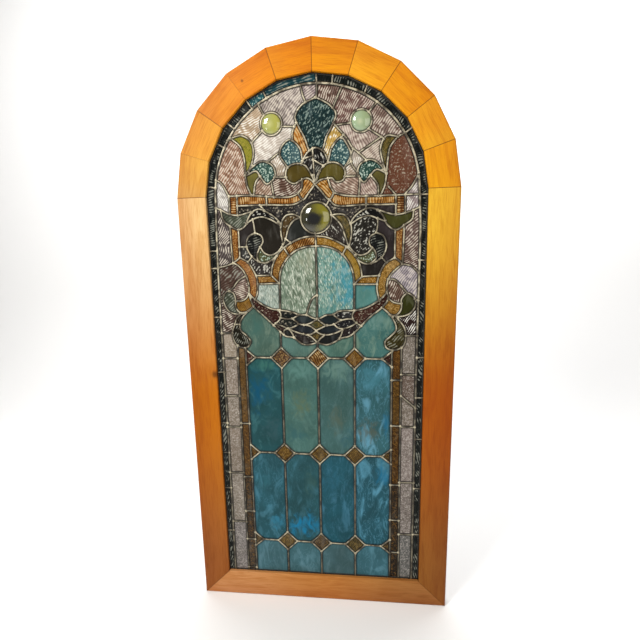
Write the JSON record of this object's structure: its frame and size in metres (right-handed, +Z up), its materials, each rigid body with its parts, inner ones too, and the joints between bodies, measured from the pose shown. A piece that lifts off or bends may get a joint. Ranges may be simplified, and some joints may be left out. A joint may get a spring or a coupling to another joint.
{
  "type": "stained glass window",
  "caption": "Arched leaded window of coloured glass: a lily and scrolls over a domed niche, a dark swag and a grid of tall blue panes with amber diamonds, set in a mitred pine frame with a faceted round head",
  "frame": {"origin": "the middle of the bottom rail's underside, where the window stands on its sill", "axes": "+Z up along the height, +X to the right seen from the front, the decorated front faces -Y"},
  "size_m": [0.824, 0.039, 1.76],
  "materials": {
    "pine": "clear satin varnish over warm orange pine",
    "lead": "soft grey lead, rubbed bright on the crown",
    "putty": "black glazing putty",
    "blue": "streaky opalescent blue",
    "sea": "seedy sea green",
    "pale_blue": "hammered pale blue",
    "teal": "granite-textured dark teal",
    "bud": "seedy grey blue",
    "pink": "rippled peach pink",
    "brown": "granite-textured red brown",
    "white": "granite-textured cream",
    "lilac": "rippled lilac",
    "beige": "mottled beige",
    "mauve": "rippled mauve",
    "lavender": "rippled grey lavender",
    "jewel_centre": "polished olive dome",
    "jewel_left": "polished yellow-green dome",
    "jewel_right": "polished pale mint dome"
  },
  "bodies": {
    "root": {"bottom_rail": "pine", "stile_right": "pine", "arch_block_1": "pine", "arch_block_2": "pine", "arch_block_3": "pine", "arch_block_4": "pine", "arch_block_5": "pine", "arch_block_6": "pine", "arch_block_7": "pine", "arch_block_8": "pine", "arch_block_9": "pine", "arch_block_10": "pine", "stile_left": "pine", "lead_came": "lead", "putty_bead": "putty", "jewel_centre": "jewel_centre", "jewel_left": "jewel_left", "jewel_right": "jewel_right", "dome_left": "sea", "dome_right": "sea", "side_left": "pale_blue", "side_right": "blue", "lily": "teal", "bud_left": "bud", "bud_right": "bud", "cheek_left": "pink", "cheek_right": "brown", "field_white": "white", "field_lilac": "lilac", "field_beige": "beige", "field_mauve_top": "mauve", "field_mauve_right": "mauve", "pane_bottom_a": "blue", "pane_bottom_b": "blue", "pane_bottom_c": "blue", "pane_bottom_d": "blue", "pane_lower_a": "blue", "pane_lower_b": "blue", "pane_lower_c": "blue", "pane_lower_d": "blue", "pane_upper_a": "blue", "pane_upper_b": "blue", "pane_upper_c": "blue", "pane_upper_d": "blue", "pane_crown_a": "blue", "pane_crown_b": "blue", "pane_crown_c": "blue", "pane_crown_d": "blue", "strip_left_1": "lavender", "strip_right_1": "lavender", "strip_left_2": "lavender", "strip_right_2": "lavender", "strip_left_3": "lavender", "strip_right_3": "lavender", "strip_left_4": "lavender", "strip_right_4": "lavender", "strip_left_5": "lavender", "strip_right_5": "lavender", "strip_left_6": "lavender", "strip_right_6": "lavender"}
  },
  "joints": []
}
